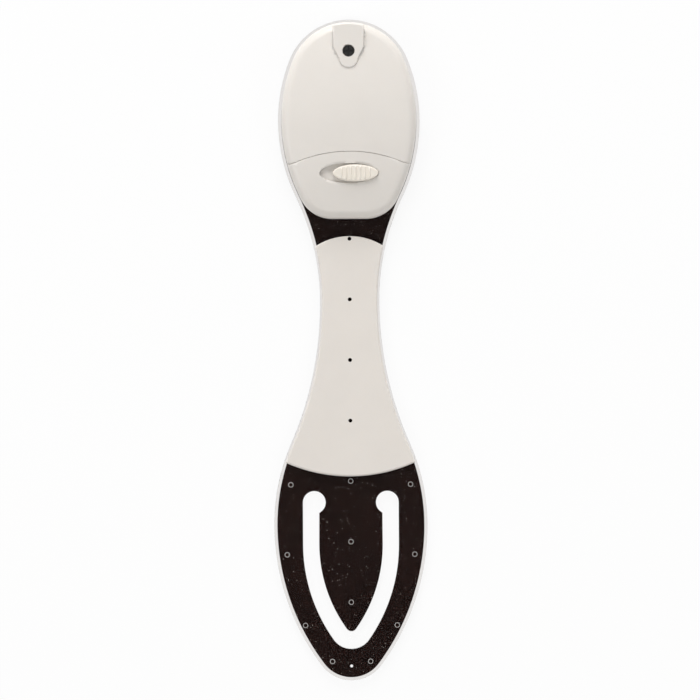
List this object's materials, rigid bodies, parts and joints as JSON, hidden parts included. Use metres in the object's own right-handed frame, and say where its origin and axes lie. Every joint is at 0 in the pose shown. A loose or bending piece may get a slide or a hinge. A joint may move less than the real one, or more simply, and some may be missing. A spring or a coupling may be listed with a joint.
{
  "type": "book light",
  "caption": "Flat bookmark light: rounded battery head with slide switch, bendable neck and a broad slotted clip whose sprung tongue grips a page or cover.",
  "frame": {"origin": "centre of the bounding box on the plane of the flat front face that the light lies on", "axes": "+Y along the length towards the head, +Z out of the back face with the switch, +X to the side that the switch knob rests on"},
  "size_m": [0.0394, 0.17, 0.0092],
  "materials": {
    "clear_sheet": "clear soft plastic, glossy",
    "black_insert": "black film under a clear layer",
    "white_neck": "satin warm white, soft",
    "white_shell": "fine satin moulded plastic",
    "white_knob": "satin moulded plastic",
    "steel_strip": "annealed steel",
    "brass": "turned",
    "lens_clear": "clear, polished",
    "white_reflector": "glossy white",
    "led_face": "LED package",
    "board": "solder mask",
    "resistor_body": "ceramic",
    "switch_metal": "plated steel",
    "cell_steel": "plated steel",
    "holder_plastic": "moulded",
    "contact_metal": "spring steel, plated",
    "foam": "soft foam",
    "screw_black": "black oxide",
    "lever_plastic": "moulded"
  },
  "bodies": {
    "clip": {"clip_sheet": "clear_sheet", "clip_insert": "black_insert", "neck_cover_lower": "white_neck", "neck_strips_lower": "steel_strip"},
    "tongue": {"tongue_sheet": "clear_sheet", "tongue_insert": "black_insert", "tongue_root_sheet": "clear_sheet", "tongue_root_insert": "black_insert"},
    "neck_link_1": {"neck_sheet_1": "clear_sheet", "neck_insert_1": "black_insert", "neck_cover_1": "white_neck", "neck_strips_1": "steel_strip"},
    "neck_link_2": {"neck_sheet_2": "clear_sheet", "neck_insert_2": "black_insert", "neck_cover_2": "white_neck", "neck_strips_2": "steel_strip"},
    "neck_link_3": {"neck_sheet_3": "clear_sheet", "neck_insert_3": "black_insert", "neck_cover_3": "white_neck", "neck_strips_3": "steel_strip"},
    "neck_link_4": {"neck_sheet_4": "clear_sheet", "neck_insert_4": "black_insert", "neck_cover_4": "white_neck", "neck_strips_4": "steel_strip"},
    "neck_link_5": {"neck_sheet_5": "clear_sheet", "neck_insert_5": "black_insert", "neck_cover_5": "white_neck", "neck_strips_5": "steel_strip"},
    "head": {"head_sheet": "clear_sheet", "head_insert": "black_insert", "neck_cover_upper": "white_neck", "neck_strips_upper": "steel_strip", "head_base": "white_shell", "switch_cover": "white_shell", "threaded_insert": "brass", "lens": "lens_clear", "reflector": "white_reflector", "led": "led_face", "circuit_board": "board", "resistor": "resistor_body", "switch_body": "switch_metal", "switch_terminals": "switch_metal", "coin_cell_lower": "cell_steel", "coin_cell_upper": "cell_steel", "cell_holder": "holder_plastic", "spring_contact": "contact_metal", "contact_leaf": "contact_metal"},
    "battery_cover": {"battery_cover": "white_shell", "foam_pad": "foam"},
    "cover_screw": {"cover_screw": "screw_black"},
    "switch_knob": {"switch_knob": "white_knob", "switch_lever": "lever_plastic"}
  },
  "joints": [
    {"name": "neck_bend_1", "type": "hinge", "parent": "clip", "child": "neck_link_1", "pos_m": [0, -0.025, 0.0014], "axis": [1, 0, 0], "range_deg": [-20, 20], "deforming": ["neck_cover_lower", "neck_strips_lower", "neck_sheet_1", "neck_insert_1", "neck_cover_1", "neck_strips_1"]},
    {"name": "neck_bend_2", "type": "hinge", "parent": "neck_link_1", "child": "neck_link_2", "pos_m": [0, -0.015, 0.0014], "axis": [1, 0, 0], "range_deg": [-20, 20], "deforming": ["neck_sheet_2", "neck_insert_2", "neck_cover_2", "neck_strips_2"]},
    {"name": "neck_bend_3", "type": "hinge", "parent": "neck_link_2", "child": "neck_link_3", "pos_m": [0, -0.005, 0.0014], "axis": [1, 0, 0], "range_deg": [-20, 20], "deforming": ["neck_sheet_3", "neck_insert_3", "neck_cover_3", "neck_strips_3"]},
    {"name": "neck_bend_4", "type": "hinge", "parent": "neck_link_3", "child": "neck_link_4", "pos_m": [0, 0.005, 0.0014], "axis": [1, 0, 0], "range_deg": [-20, 20], "deforming": ["neck_sheet_4", "neck_insert_4", "neck_cover_4", "neck_strips_4"]},
    {"name": "neck_bend_5", "type": "hinge", "parent": "neck_link_4", "child": "neck_link_5", "pos_m": [0, 0.015, 0.0014], "axis": [1, 0, 0], "range_deg": [-20, 20], "deforming": ["neck_sheet_5", "neck_insert_5", "neck_cover_5", "neck_strips_5"]},
    {"name": "neck_bend_6", "type": "hinge", "parent": "neck_link_5", "child": "head", "pos_m": [0, 0.025, 0.0014], "axis": [1, 0, 0], "range_deg": [-20, 20], "deforming": ["neck_cover_upper", "neck_strips_upper"]},
    {"name": "tongue_flex", "type": "hinge", "parent": "clip", "child": "tongue", "pos_m": [0, -0.0392, 0.0008], "axis": [1, 0, 0], "range_deg": [-15, 15], "stiffness_Nm_per_rad": 0.15, "deforming": ["tongue_root_sheet", "tongue_root_insert"]},
    {"name": "battery_cover_open", "type": "hinge", "parent": "head", "child": "battery_cover", "pos_m": [0, 0.0476, 0.0074], "axis": [1, 0, 0], "range_deg": [0, 60]},
    {"name": "cover_screw_out", "type": "slide", "parent": "battery_cover", "child": "cover_screw", "axis": [0, 0, 1], "range_m": [0, 0.0026]},
    {"name": "switch_slide", "type": "slide", "parent": "head", "child": "switch_knob", "axis": [-1, 0, 0], "range_m": [0, 0.0033]}
  ],
  "couplings": [
    {"joint": "neck_bend_2", "follows": "neck_bend_1", "ratio": 1},
    {"joint": "neck_bend_3", "follows": "neck_bend_1", "ratio": 1},
    {"joint": "neck_bend_4", "follows": "neck_bend_1", "ratio": 1},
    {"joint": "neck_bend_5", "follows": "neck_bend_1", "ratio": 1},
    {"joint": "neck_bend_6", "follows": "neck_bend_1", "ratio": 1}
  ]
}
